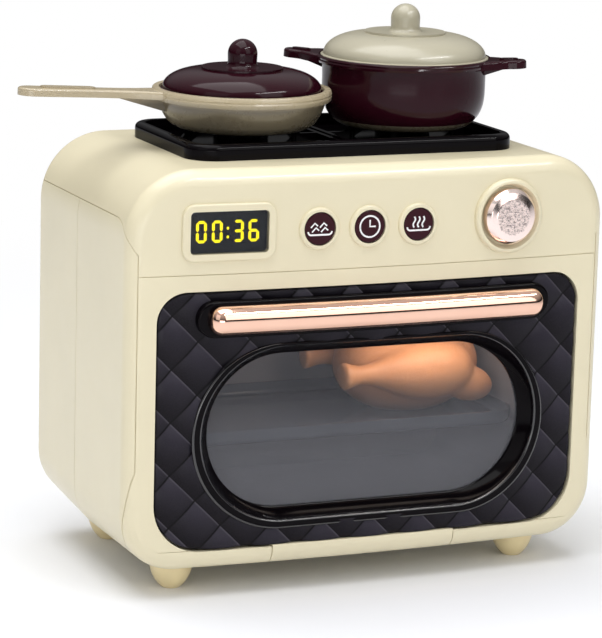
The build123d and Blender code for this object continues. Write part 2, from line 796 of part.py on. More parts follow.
def flat_handle(turn, tilt, z, widths, thickness, pad):
    """Moulded tab handle: a softened tongue with a rounded end and a raised grip pad."""
    start_r = widths[0][0]
    side = [(r, w / 2) for r, w in widths]
    end, end_r = side[-1]
    lean = (side[1][0] - side[0][0], side[1][1] - side[0][1])
    near = Spline(*side, tangents=(lean, (1, 0)))
    tip = ThreePointArc(side[-1], (end + end_r, 0), (end, -end_r))
    plan = near + tip + mirror(near, about=Plane.XZ) + Line((start_r, -side[0][1]), side[0])
    body = extrude(make_face(plan), amount=thickness)
    upper_edges = body.faces().sort_by(Axis.Z)[-1].edges().sort_by(Axis.X)
    body = fillet(upper_edges[1:], thickness * 0.32)
    pad_x, pad_length, pad_width = pad
    body += Pos(pad_x, 0, thickness) * extrude(SlotOverall(pad_length, pad_width), amount=0.7)
    return Rot(0, 0, turn) * Pos(start_r, 0, z) * Rot(0, -tilt, 0) * Pos(-start_r, 0, 0) * body


def gusset(turn, r0, z_low, r1, z_high, width):
    """Web under a handle."""
    web = make_face(Polyline((r0, z_low), (r0, z_high), (r1, z_high), close=True))
    web = extrude(Plane.XZ * web, amount=width / 2, both=True)
    return Rot(0, 0, turn) * web


def outside_bowl(handle, wall_r, seat_z, rim_r):
    """A handle cut back so that it is rooted in the wall and, above the lid's seat, in the rim."""
    step_z = seat_z - root
    handle -= rod_z(wall_r - root, 0, step_z)
    return handle - rod_z(rim_r + root, step_z, far)


pan_side = ((36.7, 6.0), (38.6, 10.0), (39.3, 13.7))
pan_seat_r = 38.6
pan_seat = 1.7
pot_side = ((38.0, 9.4), (39.1, 17.6), (39.6, 29.6))
pot_seat_r = 40.5
pot_seat = 1.1


def frying_pan():
    """Shallow pan with a long flat handle."""
    body = vessel(35.2, pan_side, pan_rim_r, pan_height, pan_seat_r, pan_seat)
    turn = 180 - pan_handle_turn
    end = pan_handle_reach - 6.5
    widths = ((36, 22), (52, 13), (62, 11), (end - 14, 12), (end, 13))
    handle = flat_handle(turn, pan_handle_tilt, pan_height - 4.4, widths, 3.6, (end - 17, 26, 6.5))
    handle += gusset(turn, pan_side[1][0] - 1, 8.4, 60, pan_height - 3.8, 7)
    return body + outside_bowl(handle, pan_side[1][0], pan_height - pan_seat, pan_seat_r)


def pot():
    """Deep pot with two tab handles."""
    body = vessel(34.6, pot_side, pot_rim_r, pot_height, pot_seat_r, pot_seat)
    end = pot_handle_reach - 5.5
    widths = ((37, 29), (46, 19), (end, 11))
    for turn in (pot_handle_turn, pot_handle_turn + 180):
        handle = flat_handle(turn, 3.0, pot_height - 4.2, widths, 4.0, (end - 3, 9, 5))
        handle += gusset(turn, pot_side[2][0] - 1, pot_height - 7.6, 49, pot_height - 3.8, 5)
        body += outside_bowl(handle, pot_side[2][0], pot_height - pot_seat, pot_seat_r)
    return body


def lid(height, seat_depth, flange_r, dome_r, dome_height):
    """Domed lid: flange, elliptical shoulder, stepped crown and a bullet-shaped knob, hollow below."""
    low = height - seat_depth
    dome_low = low + lid_flange
    top = dome_low + dome_height
    knob_low = top + 1.0
    knob_top = knob_low + lid_knob_height
    outer = Polyline((flange_r - 2.2, low), (flange_r, low), (flange_r, dome_low - 0.4), (dome_r, dome_low))
    outer += EllipticalCenterArc(
        (lid_step_r, dome_low), dome_r - lid_step_r, dome_height, start_angle=0, arc_size=90
    )
    outer += Polyline(
        (lid_step_r, top),
        (lid_step_r, knob_low),
        (lid_knob_r + 1, knob_low),
        (lid_knob_r + 0.3, knob_low + 0.7),
        (lid_knob_r - 0.1, knob_low + 1.6),
        (lid_knob_r, knob_top - lid_knob_r),
    )
    outer += CenterArc((0, knob_top - lid_knob_r), lid_knob_r, 0, 90)
    outer += Polyline((0, knob_top), (0, top - lid_wall), (lid_step_r - 1, top - lid_wall))
    outer += EllipticalCenterArc(
        (lid_step_r - 1, low),
        flange_r - 2.2 - lid_step_r + 1,
        top - lid_wall - low,
        start_angle=0,
        arc_size=90,
    )
    return turned(outer)


# ---------------------------------------------------------------- power, sound and fixings
def batteries():
    cells = []
    for k in range(battery_count):
        z = battery_low_z + battery_pitch * (k + 0.5)
        cells.append(rod_x(battery_y, z, battery_r, -battery_length / 2, battery_length / 2))
    return Compound(cells)


def battery_contacts():
    plates = []
    for side in (-1, 1):
        xs = sorted((side * (battery_length / 2 + touch), side * (battery_box_half - touch)))
        plates.append(block(*xs, battery_y - 4, battery_y + 4, battery_low_z + 2, battery_high_z - 2))
    return Compound(plates)


def speaker():
    """Small round speaker against the sound slots."""
    inside = back_y - wall
    body = rod_y(speaker_x, speaker_z, speaker_r, inside - 3, inside)
    return body + rod_y(speaker_x, speaker_z, speaker_r * 0.55, inside - 8, inside - 3)


def screw(x, z, seat_y, length, head_r, shank_r, head_height=1.8):
    """Pan-head screw that enters towards the front."""
    head = rod_y(x, z, head_r, seat_y, seat_y + head_height)
    return head + rod_y(x, z, shank_r, seat_y - length, seat_y)


def rear_screws():
    spots = [(x, z) for x in (-post_x, post_x) for z in post_zs]
    return Compound([screw(x, z, screw_seat_y, screw_length, screw_head_r, screw_r - running) for x, z in spots])


def door_screws():
    spots = list(door_screw_places)
    made = [screw(x, z, door_back_y - 1.6, 3.4, screw_head_r, 1.2 - running, 1.4) for x, z in spots]
    for side in (-1, 1):
        x = hinge_x + side * tongue_screw_x
        made.append(screw(x, door_low_z + 5, door_back_y - 1.4, 3.0, 2.4, 1.2 - running, 1.2))
    return Compound(made)


def battery_screw():
    boss_z = battery_high_z + liner_wall + 4
    return screw(0, boss_z, back_y - 1.0, 9, screw_head_r, screw_r - running, 1.0)


quilt_z = 83.4
knob_dish = 1.0
switch_depth = 6.0
switch_height = 3.5
spindle_top = 3.0
board_y = front_y + 9.0
board_post_xs = (-46.0, 40.0)
pin_hold = 16.0
tongue_screw_x = 30.0
pane_size = (pane_width + 2 * pane_ledge, pane_height + 2 * pane_ledge)
door_screw_places = [(x, z) for x in (-97.0, 97.0) for z in (56.0, 112.0)]
battery_box_half = battery_length / 2 + 1.5
battery_high_z = battery_low_z + battery_count * battery_pitch + 0.2
battery_y = back_y - wall - battery_r - 0.5
battery_back_y = battery_y - battery_r - 0.5
screw_seat_y = back_y - 9.0
post_end_y = screw_seat_y - 5.0
inner_or_wall = envelope(wall * 0.5)

pieces = {
    "front_frame": front_frame(),
    "top_shell": top_shell(),
    "rear_shell": rear_shell(),
    "feet": feet(),
    "oven_liner": oven_liner(),
    "oven_tray": oven_tray(),
    "oven_lamp": oven_lamp(),
    "roast_chicken": roast_chicken(),
    "door_panel": door_panel(),
    "door_frame": door_frame(),
    "window_bezel": window_bezel(),
    "window_pane": window_pane(),
    "hinge_block": hinge_block(),
    "hinge_pins": hinge_pins(),
    "handle_plinth": handle_plinth(),
    "door_handle": door_handle(),
    "display_lens": display_lens(),
    "display_module": display_module(),
    "control_board": control_board(),
    "knob_cap": knob_cap(),
    "knob_spindle": knob_spindle(),
    "rotary_switch": rotary_switch(),
    "hob_tray": hob_tray(),
    "frying_pan": on_burner(-1, frying_pan()),
    "frying_pan_base": on_burner(-1, cook_base(28.0, 35.2)),
    "frying_pan_lid": on_burner(-1, lid(pan_height, pan_seat, 38.2, 37.4, 9.0)),
    "pot": on_burner(1, pot()),
    "pot_base": on_burner(1, cook_base(28.0, 34.6)),
    "pot_lid": on_burner(1, lid(pot_height, pot_seat, 40.1, 38.9, 10.4)),
    "batteries": batteries(),
    "battery_contacts": battery_contacts(),
    "battery_cover": battery_cover(),
    "battery_screw": battery_screw(),
    "speaker": speaker(),
    "rear_screws": rear_screws(),
    "door_screws": door_screws(),
}
panels = (shell & side_region(0)).solids()
for name, share in (("side_panel_left", -1), ("side_panel_right", 1)):
    pieces[name] = Compound([s for s in panels if s.center().X * share > 0])
for name, side in (("left", -1), ("right", 1)):
    pieces["grate_" + name] = grate(side)
    pieces["burner_" + name] = burner(side)
for name, x in zip(button_names, button_xs):
    pieces["button_" + name] = button_cap(x)

# The part's origin is the middle of the overall footprint, on the floor.
boxes = [piece.bounding_box() for piece in pieces.values()]
left = min(box.min.X for box in boxes)
right = max(box.max.X for box in boxes)
front = min(box.min.Y for box in boxes)
back = max(box.max.Y for box in boxes)
floor = min(box.min.Z for box in boxes)
to_origin = Pos(-(left + right) / 2, -(front + back) / 2, -floor)
print("moved to the origin by", to_origin.position)
for name, piece in pieces.items():
    export_step(to_origin * piece, f"parts/{name}.step")
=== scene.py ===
from math import asin, cos, pi, radians, sin, sqrt

import bmesh
import bpy
from mathutils import Matrix, Vector
from mathutils.geometry import delaunay_2d_cdt


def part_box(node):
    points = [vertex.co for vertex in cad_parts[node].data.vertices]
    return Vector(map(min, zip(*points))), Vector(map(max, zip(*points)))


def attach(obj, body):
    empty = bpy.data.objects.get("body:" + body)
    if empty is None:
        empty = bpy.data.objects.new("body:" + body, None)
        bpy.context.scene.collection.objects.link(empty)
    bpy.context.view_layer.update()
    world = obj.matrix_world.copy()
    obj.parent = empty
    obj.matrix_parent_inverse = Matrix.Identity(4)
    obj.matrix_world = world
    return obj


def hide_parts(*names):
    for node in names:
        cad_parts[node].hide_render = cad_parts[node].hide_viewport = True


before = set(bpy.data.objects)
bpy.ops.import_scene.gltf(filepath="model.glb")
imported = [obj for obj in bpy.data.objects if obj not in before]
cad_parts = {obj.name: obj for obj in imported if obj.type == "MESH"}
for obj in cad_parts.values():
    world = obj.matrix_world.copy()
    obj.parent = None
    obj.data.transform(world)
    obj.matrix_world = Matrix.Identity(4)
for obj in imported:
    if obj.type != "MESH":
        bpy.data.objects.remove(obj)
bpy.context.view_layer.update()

MM = 0.001


# ---- Housing -----------------------------------------------------------------------------------
# Five injection-moulded shells in cream plastic: front frame, roof with the control panel, two
# side panels and a rear half, on four domed feet. They are screwed together from behind and meet
# in fine open seams, and have a satin gloss with a faint orange peel.


class Wire:
    """A node's socket that takes part in sums: each operator adds a Math node."""

    def __init__(self, nodes, socket):
        self.nodes, self.socket = nodes, socket

    def output(self, name):
        """Another output of the same node."""
        return Wire(self.nodes, self.socket.node.outputs[name])

    def __add__(self, other):
        return self.nodes.maths("ADD", self, other)

    def __sub__(self, other):
        return self.nodes.maths("SUBTRACT", self, other)

    def __mul__(self, other):
        return self.nodes.maths("MULTIPLY", self, other)

    def __truediv__(self, other):
        return self.nodes.maths("DIVIDE", self, other)

    def __radd__(self, other):
        return self.nodes.maths("ADD", other, self)

    def __rsub__(self, other):
        return self.nodes.maths("SUBTRACT", other, self)

    def __rmul__(self, other):
        return self.nodes.maths("MULTIPLY", other, self)

    def __rtruediv__(self, other):
        return self.nodes.maths("DIVIDE", other, self)

    def __pow__(self, other):
        return self.nodes.maths("POWER", self, other)

    def __gt__(self, other):
        return self.nodes.maths("GREATER_THAN", self, other)

    def __abs__(self):
        return self.nodes.maths("ABSOLUTE", self)


class Nodes:
    """A node tree under construction."""

    def __init__(self, tree):
        self.tree = tree
        tree.nodes.clear()

    def node(self, kind, settings=None, values=None, out=0):
        """Adds a node and sets it up. Its sockets take values, links or a list of several links."""
        made = self.tree.nodes.new(kind)
        for key, setting in (settings or {}).items():
            if key == "stops":
                elements = made.color_ramp.elements
                while len(elements) < len(setting):
                    elements.new(1.0)
                for stop, (at, colour) in zip(elements, setting):
                    stop.position, stop.color = at, colour
            else:
                setattr(made, key, setting)
        for key, value in (values or {}).items():
            for given in value if isinstance(value, list) else [value]:
                if isinstance(given, Wire):
                    self.tree.links.new(given.socket, made.inputs[key])
                else:
                    made.inputs[key].default_value = given
        return Wire(self, made.outputs[out]) if len(made.outputs) else made

    def maths(self, operation, *values):
        return self.node("ShaderNodeMath", {"operation": operation}, dict(enumerate(values)))


def linear(*seen):
    """A colour as seen, 0 to 255, as the amounts of light that a shader takes."""
    return tuple(((c / 255 + 0.055) / 1.055) ** 2.4 if c > 10 else c / 3294 for c in seen) + (1.0,)


def toned(colour, times):
    """The colour, darker or lighter by a factor."""
    return tuple(c * times for c in colour[:3]) + (1.0,)


class Finish(Nodes):
    """A material: one Principled surface and the patterns that feed it."""

    def __init__(self, name):
        self.material = bpy.data.materials.new(name)
        self.material.use_nodes = True
        super().__init__(self.material.node_tree)
        self.place = self.node("ShaderNodeTexCoord", out=3)

    def noise(self, per_metre, detail=2.0, rough=0.5):
        values = {"Vector": self.place, "Scale": per_metre, "Detail": detail, "Roughness": rough}
        return self.node("ShaderNodeTexNoise", {}, values)

    def height(self):
        return self.node("ShaderNodeSeparateXYZ", {}, {0: self.place}, out=2)

    def ramp(self, value, start, end, **settings):
        """0 where value is at start, 1 where it is at end, and between them in proportion."""
        return self.node("ShaderNodeMapRange", settings, {0: value, 1: start, 2: end})

    def mix(self, mask, first, second):
        values = {0: mask, 6: first, 7: second}
        return self.node("ShaderNodeMix", {"data_type": "RGBA"}, values, out=2)

    def bump(self, height, strength, distance):
        values = {"Height": height, "Strength": strength, "Distance": distance}
        return self.node("ShaderNodeBump", {}, values)

    def surface(self, **sockets):
        values = {name.replace("_", " "): value for name, value in sockets.items()}
        shader = self.node("ShaderNodeBsdfPrincipled", {}, values)
        self.node("ShaderNodeOutputMaterial", {}, {"Surface": shader})
        return self.material


FLOW, RUB, PEEL, PORES = (28, 3), (140, 4, 0.6), (900, 2), (2400, 1)
# The last two are the fade and the darkening factor of the painted shade under a height.
PEEL_DEPTH, PAINTED_SHADE_FADE, PAINTED_SHADE_FACTOR = 0.12 * MM, 4 * MM, 0.3


def moulded(name, colour, roughness, coat=0.0, peel=0.12, mottle=0.03, shine=0.5, painted_shade_below=None):
    """Injection-moulded plastic: flow mottle, rubbed gloss, fine orange peel, and painted shade
    below a given height.
    """
    skin = Finish(name)
    tone = skin.mix(skin.noise(*FLOW), toned(colour, 1 - 3 * mottle), colour)
    # Painted shade: below the given height the colour is darkened, as if in shadow.
    if painted_shade_below:
        shade = skin.ramp(skin.height(), painted_shade_below, painted_shade_below - PAINTED_SHADE_FADE)
        tone = skin.mix(shade, tone, toned(colour, PAINTED_SHADE_FACTOR))
    return skin.surface(
        Base_Color=tone,
        Roughness=roughness * (0.82 + 0.36 * skin.noise(*RUB)),
        Normal=skin.bump(skin.noise(*PEEL) + 0.25 * skin.noise(*PORES), peel, PEEL_DEPTH),
        Coat_Weight=coat,
        Coat_Roughness=0.12,
        Specular_IOR_Level=shine,
    )


def modifier_group(name, inputs):
    """A node group that takes and gives a geometry, and has further inputs, kinds given by name."""
    group = bpy.data.node_groups.new(name, "GeometryNodeTree")
    group.is_modifier = True
    for title, kind in {"Geometry": "Geometry", **inputs}.items():
        group.interface.new_socket(title, in_out="INPUT", socket_type=f"NodeSocket{kind}")
    group.interface.new_socket("Geometry", in_out="OUTPUT", socket_type="NodeSocketGeometry")
    return group


WELD, REAL_EDGE = 1e-6, 32


def soft_shading():
    """A node group that welds a tessellated solid and keeps only its real edges sharp."""
    group = modifier_group("soft shading", {})
    nodes = Nodes(group)
    solid = nodes.node("NodeGroupInput")
    welded = nodes.node("GeometryNodeMergeByDistance", {}, {"Geometry": solid, "Distance": WELD})
    faces = {"Geometry": welded, "Shade Smooth": True}
    smooth = nodes.node("GeometryNodeSetShadeSmooth", {}, faces)
    turn = nodes.node("GeometryNodeInputMeshEdgeAngle")
    edges = {"Geometry": smooth, "Selection": turn > radians(REAL_EDGE), "Shade Smooth": False}
    creased = nodes.node("GeometryNodeSetShadeSmooth", {"domain": "EDGE"}, edges)
    nodes.node("NodeGroupOutput", {}, {"Geometry": creased})
    return group


crease = soft_shading()


def finish_node(material, *names):
    """Gives CAD nodes their material and smooth shading between real edges."""
    for name in names:
        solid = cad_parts[name]
        solid.data.materials.clear()
        solid.data.materials.append(material)
        solid.modifiers.new("soft shading", "NODES").node_group = crease
        weighted = solid.modifiers.new("flat faces stay flat", "WEIGHTED_NORMAL")
        weighted.keep_sharp = True
        weighted.weight = 100


cream = moulded("cream plastic", linear(232, 222, 190), 0.34, coat=0.25)
finish_node(cream, "front_frame", "top_shell", "side_panel_left", "side_panel_right", "rear_shell")
# The feet use a lighter, warmer copy of the cream: painted warm bounce light on feet in shade.
finish_node(moulded("foot cream with painted bounce light", linear(244, 226, 178), 0.34, coat=0.25), "feet")

low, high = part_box("rear_shell")
HALF_DEPTH, FRONT_BOW, HALF_WIDTH = 65.0 * MM, 5.5 * MM, 120.0 * MM
oven = Vector(((low.x + high.x) / 2, high.y - HALF_DEPTH, 0))
bow_r = (HALF_WIDTH**2 + FRONT_BOW**2) / (2 * FRONT_BOW)
bow_axis = oven.y - HALF_DEPTH - FRONT_BOW + bow_r


def on_face(x, z, out=0.0):
    """A frame standing on the bowed front: X along it, Y up, Z out. x is from the oven's middle."""
    turn = asin(x / bow_r)
    spot = Vector((oven.x + x, bow_axis - sqrt(bow_r**2 - x**2), z))
    along, normal = Vector((cos(turn), sin(turn), 0)), Vector((sin(turn), -cos(turn), 0))
    place = Matrix((along, Vector((0, 0, 1)), normal)).transposed().to_4x4()
    place.translation = spot + normal * out
    return place


# ---- Hinge and door body -----------------------------------------------------------------------
# A cream block under the door turns on two short steel pins in the housing's ears, so that the
# door drops forward. Its tongue is screwed to the door body, the black plastic that carries the
# skin, the window surround, the pane and the handle's base.
black = moulded("black gloss plastic", linear(10, 7, 10), 0.1, peel=0.04, mottle=0.1, shine=0.07)
steel_skin = Finish("plated steel")
plate = steel_skin.mix(steel_skin.noise(300, 3), linear(150, 150, 152), linear(205, 205, 205))
steel = steel_skin.surface(
    Base_Color=plate,
    Metallic=1.0,
    Roughness=0.24 + 0.2 * steel_skin.noise(1200, 2),
)
finish_node(cream, "hinge_block")
finish_node(black, "handle_plinth")
finish_node(steel, "hinge_pins", "door_screws")


# ---- Quilted door skin -------------------------------------------------------------------------
# A thin black moulding that follows the bow. Two crossing families of grooves part it into pillowed
# diamonds, it is cut out for the oval window, and its outer edge is rounded over and polished. Its
# colour holds painted light: each diamond is painted paler toward its upper right, with a painted
# highlight along that edge and painted shade in the creases.
DIAMOND, GROOVE, QUILT_MIDDLE = 24.7 * MM, 2.1 * MM, 83.4 * MM
PILLOW_POWER, COUNT_FROM = 2.2, 100.0
SKIN, RIM_ROUND, RIM_START, RIM_DEPTH, RIM_TOUCH = 2.3 * MM, 1.0 * MM, 0.3 * MM, 0.9 * MM, 0.1 * MM
QUILT_EDGE = 24
WINDOW_MIDDLE, WINDOW_HALF, WINDOW_R = 75.4 * MM, 87.2 * MM, 42.3 * MM
DOOR_HALF, DOOR_LOW, DOOR_HIGH = 105.7 * MM, 23.4 * MM, 143.1 * MM
DOOR_UPPER_R, DOOR_LOWER_R = 13.5 * MM, 22.0 * MM
OUTLINE_STEP, CORNER_PARTS, END_PARTS = 1.6 * MM, 12, 40


def divided(points):
    """A closed outline with points added on its long straight stretches."""
    full = []
    for a, b in zip(points, points[1:] + points[:1]):
        across, up = b[0] - a[0], b[1] - a[1]
        count = max(1, int(Vector((across, up)).length / OUTLINE_STEP))
        full += [(a[0] + across * k / count, a[1] + up * k / count) for k in range(count)]
    return full


def door_outline(inset):
    """Points round the door, set in by inset, anticlockwise from its lower right corner."""
    corners = (
        (DOOR_HALF, DOOR_LOW, DOOR_LOWER_R, -90),
        (DOOR_HALF, DOOR_HIGH, DOOR_UPPER_R, 0),
        (-DOOR_HALF, DOOR_HIGH, DOOR_UPPER_R, 90),
        (-DOOR_HALF, DOOR_LOW, DOOR_LOWER_R, 180),
    )
    points = []
    for x, z, r, start in corners:
        centre_x = x - r if x > 0 else x + r
        centre_z = z + r if z == DOOR_LOW else z - r
        for k in range(CORNER_PARTS + 1):
            turn = radians(start + k * 90 / CORNER_PARTS)
            points.append((centre_x + (r - inset) * cos(turn), centre_z + (r - inset) * sin(turn)))
    return divided(points)


def window_outline():
    """Points round the window's oval, anticlockwise from the foot of its right end."""
    points = []
    for side, start in ((1, -90), (-1, 90)):
        for k in range(END_PARTS + 1):
            turn = radians(start + k * 180 / END_PARTS)
            x = side * (WINDOW_HALF - WINDOW_R) + WINDOW_R * cos(turn)
            points.append((x, WINDOW_MIDDLE + WINDOW_R * sin(turn)))
    return divided(points)


def inside(point, outline):
    """Even-odd test of a point against a closed outline."""
    x, z = point
    odd = False
    for (ax, az), (bx, bz) in zip(outline, outline[1:] + outline[:1]):
        if (az > z) != (bz > z) and x < (bx - ax) * (z - az) / (bz - az) + ax:
            odd = not odd
    return odd


def mesh_of(name, points, faces):
    mesh = bpy.data.meshes.new(name)
    mesh.from_pydata(points, [], faces)
    return mesh


def quilt_sheet():
    """Flat mesh of the skin in X and Z. Each point has its inset from the rim, up to RIM_ROUND."""
    points, edges, insets = [], [], []
    loops = [(door_outline(inset), inset) for inset in (0, RIM_START, RIM_ROUND)]
    loops += [(window_outline(), RIM_ROUND)]
    for loop, inset in loops:
        start = len(points)
        points += loop
        insets += [inset] * len(loop)
        edges += [(start + k, start + (k + 1) % len(loop)) for k in range(len(loop))]
    outer, rim, window = loops[0][0], loops[2][0], loops[3][0]
    cell, parts, reach = DIAMOND / sqrt(2), 8, 12
    for i in range(-reach * parts, reach * parts + 1):
        for j in range(-reach * parts, reach * parts + 1):
            u, v = i * cell / parts, j * cell / parts
            point = ((u + v) / sqrt(2), QUILT_MIDDLE + (u - v) / sqrt(2))
            if abs(point[0]) < DOOR_HALF and DOOR_LOW < point[1] < DOOR_HIGH:
                if inside(point, rim) and not inside(point, window):
                    points.append(point)
                    insets.append(RIM_ROUND)
    found = delaunay_2d_cdt([Vector(p) for p in points], edges, [], 0, 1e-7)
    spots, faces, sources = found[0], found[2], found[3]
    kept = []
    for face in faces:
        middle = sum((spots[k] for k in face), Vector((0, 0))) / len(face)
        if inside(middle, outer) and not inside(middle, window):
            kept.append([*face][::-1])
    mesh = mesh_of("quilt sheet", [(oven.x + p.x, 0, p.y) for p in spots], kept)
    note = mesh.attributes.new("inset", "FLOAT", "POINT")
    note.data.foreach_set("value", [insets[s[0]] if s else RIM_ROUND for s in sources])
    return mesh


quilt_sizes = {
    "Diamond": DIAMOND,
    "Groove": GROOVE,
    "Skin": SKIN,
    "Rim": RIM_ROUND,
    "Middle X": oven.x,
    "Middle Z": QUILT_MIDDLE,
    "Bow radius": bow_r,
    "Bow axis": bow_axis,
}


def quilting():
    """Node group: bows the sheet, presses the grooves in, rounds the rim and thickens the skin."""
    kinds = dict.fromkeys(quilt_sizes, "Float")
    group = modifier_group("quilting", {**kinds, "Material": "Material"})
    nodes = Nodes(group)
    sheet = nodes.node("NodeGroupInput")
    size = {name: sheet.output(name) for name in [*quilt_sizes, "Material"]}
    x = nodes.node("ShaderNodeSeparateXYZ", {}, {0: nodes.node("GeometryNodeInputPosition")})
    z = x.output("Z")
    across, up = x - size["Middle X"], z - size["Middle Z"]

    def pillow(run):
        """1 in the middle of a diamond and 0 on its grooves. COUNT_FROM keeps the count above 0."""
        cell = nodes.maths("FRACT", run / size["Diamond"] + COUNT_FROM)
        return 1.0 - abs(cell * 2.0 - 1.0) ** PILLOW_POWER

    puff = pillow(across + up) * 0.5 + pillow(across - up) * 0.5
    bow = size["Bow axis"] - (size["Bow radius"] * size["Bow radius"] - across * across) ** 0.5
    inset = nodes.node("GeometryNodeInputNamedAttribute", {"data_type": "FLOAT"}, {"Name": "inset"})
    short = size["Rim"] - inset
    rolled = size["Rim"] - (size["Rim"] * size["Rim"] - short * short) ** 0.5
    front = bow + size["Groove"] * (1.0 - puff) + rolled
    front_place = nodes.node("ShaderNodeCombineXYZ", {}, {0: x, 1: front, 2: z})
    back_place = nodes.node("ShaderNodeCombineXYZ", {}, {0: x, 1: bow + size["Skin"], 2: z})

    def placed(geometry, **values):
        return nodes.node("GeometryNodeSetPosition", {}, {"Geometry": geometry, **values})

    walls = {"Mesh": sheet, "Individual": False, "Offset Scale": 1.0}
    raised = nodes.node("GeometryNodeExtrudeMesh", {}, walls)
    top = raised.output("Top")
    shaped = placed(raised, Selection=top, Position=front_place)
    shaped = placed(shaped, Selection=1.0 - top, Position=back_place)
    back = placed(nodes.node("GeometryNodeFlipFaces", {}, {0: sheet}), Position=back_place)
    joined = nodes.node("GeometryNodeJoinGeometry", {}, {0: [shaped, back]})
    closed = nodes.node("GeometryNodeMergeByDistance", {}, {"Geometry": joined, "Distance": WELD})
    real = nodes.node("GeometryNodeRealizeInstances", {}, {0: closed})
    coloured = {"Geometry": real, "Material": size["Material"]}
    coloured = nodes.node("GeometryNodeSetMaterial", {}, coloured)
    nodes.node("NodeGroupOutput", {}, {"Geometry": coloured})
    return group


def put(name, data):
    """A new object, standing in the scene."""
    piece = bpy.data.objects.new(name, data)
    bpy.context.scene.collection.objects.link(piece)
    return piece


def worked(piece):
    """The piece's mesh as its modifiers or its curve make it."""
    bpy.context.view_layer.update()
    seen = piece.evaluated_get(bpy.context.evaluated_depsgraph_get())
    return bpy.data.meshes.new_from_object(seen)


def settle(piece):
    """Works the piece's modifiers into its own mesh."""
    plain = worked(piece)
    piece.modifiers.clear()
    piece.data = plain


def grown(name, mesh, group, sizes):
    """A finished object, made by a node group from a mesh and its sizes."""
    piece = put(name, mesh)
    grower = piece.modifiers.new(group.name, "NODES")
    grower.node_group = group
    for item in group.interface.items_tree:
        if item.item_type == "SOCKET" and item.in_out == "INPUT" and item.name in sizes:
            grower[item.identifier] = sizes[item.name]
    settle(piece)
    return piece


CREASE_SHADE_BAND, RIDGE_HIGHLIGHT_BAND = (0.46, 0.49), (0.95, 0.985)
quilt_skin = Finish("quilted black plastic with painted pillow light")
flat = quilt_skin.node("ShaderNodeSeparateXYZ", {}, {0: quilt_skin.place})
flat_x, flat_z = flat - oven.x, flat.output("Z") - QUILT_MIDDLE
rise = quilt_skin.maths("FRACT", (flat_x + flat_z) / DIAMOND + COUNT_FROM)
fall = quilt_skin.maths("FRACT", (flat_x - flat_z) / DIAMOND + COUNT_FROM)
rubbing_and_light_patches = quilt_skin.noise(46, 3)
grain = quilt_skin.noise(1900, 2, 0.7)
# Painted light: each diamond is painted paler toward its upper right, as if lit from there, in
# patches set by the noise. A painted highlight runs along that edge and painted shade along the
# creases.
painted_pillow_light = (rise**1.4 * (1.3 - 0.95 * fall) + 0.08) * (0.7 + 0.6 * rubbing_and_light_patches) + (grain - 0.5) * 0.45
painted_crease_shade = quilt_skin.ramp(abs(fall - 0.5), *CREASE_SHADE_BAND)
painted_ridge_highlight = quilt_skin.ramp(rise, *RIDGE_HIGHLIGHT_BAND)
tone = quilt_skin.mix(painted_pillow_light, linear(12, 8, 13), linear(54, 51, 60))
tone = quilt_skin.mix(painted_ridge_highlight * (0.4 + 0.3 * rubbing_and_light_patches), tone, linear(86, 82, 90))
tone = quilt_skin.mix(painted_crease_shade, tone, linear(7, 5, 8))
quilt_black_painted_light = quilt_skin.surface(
    Base_Color=tone,
    Roughness=0.26 + 0.14 * rubbing_and_light_patches,
    Specular_IOR_Level=0.12,
    Normal=quilt_skin.bump(grain, 0.2, 0.1 * MM),
)
edge_black = linear(16, 13, 17)
polished_black = moulded("polished black edge", edge_black, 0.16, coat=0.9, peel=0.02, mottle=0.1)
quilt = grown("quilted_skin", quilt_sheet(), quilting(), {**quilt_sizes, "Material": quilt_black_painted_light})
quilt.data.shade_smooth()
quilt.data.set_sharp_from_angle(angle=radians(QUILT_EDGE))
quilt.data.materials.append(polished_black)
insets = quilt.data.attributes["inset"].data
for face in quilt.data.polygons:
    rim_back = on_face(face.center.x - oven.x, 0, -RIM_DEPTH).translation.y
    at_rim = min(insets[k].value for k in face.vertices) < RIM_TOUCH
    if at_rim and face.center.y < rim_back:
        face.material_index = 1
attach(quilt, "door")
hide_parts("door_panel")


# ---- Window ------------------------------------------------------------------------------------
# A glossy black surround, clipped into the door body: a rounded bead on the skin, a lip and a
# tapered wall that ends at the smoked acrylic pane. The body behind it is cut back to this oval.
PANE_FACE = oven.y - 60.55 * MM
BEAD, LIP = (89.1, 43.85, 74.85), (84.5, 41.0, 76.0)
CLEAR, BACK = (79.4, 36.35, 75.65), (87.0, 42.1, 75.4)
CROWN = (
    (0.0, -0.3),
    (0.02, 0.15),
    (0.09, 0.45),
    (0.22, 0.6),
    (0.55, 0.5),
    (0.8, 0.55),
    (0.92, 0.4),
    (0.98, 0.1),
)
WALLS, POLISHED_STRIPS, RING_EDGE = 96, (0, 1, 2, 5, 6, 7), 40


def oval(half_width, radius, middle, k):
    """Point k of WALLS round an oval with straight sides, sizes in millimetres."""
    turn = 2 * pi * (k + 0.5) / WALLS
    side = half_width - radius if cos(turn) > 0 else radius - half_width
    return side + radius * cos(turn), middle + radius * sin(turn)


def wider(size, grow):
    return size[0] + grow, size[1] + grow, size[2]


def between(first, second, share):
    return tuple(a + (b - a) * share for a, b in zip(first, second))


def strip(here, there, count):
    """Faces between two closed rings of count points, which start at here and there."""
    after = [(k + 1) % count for k in range(count)]
    return [(here + k, here + n, there + n, there + k) for k, n in enumerate(after)]


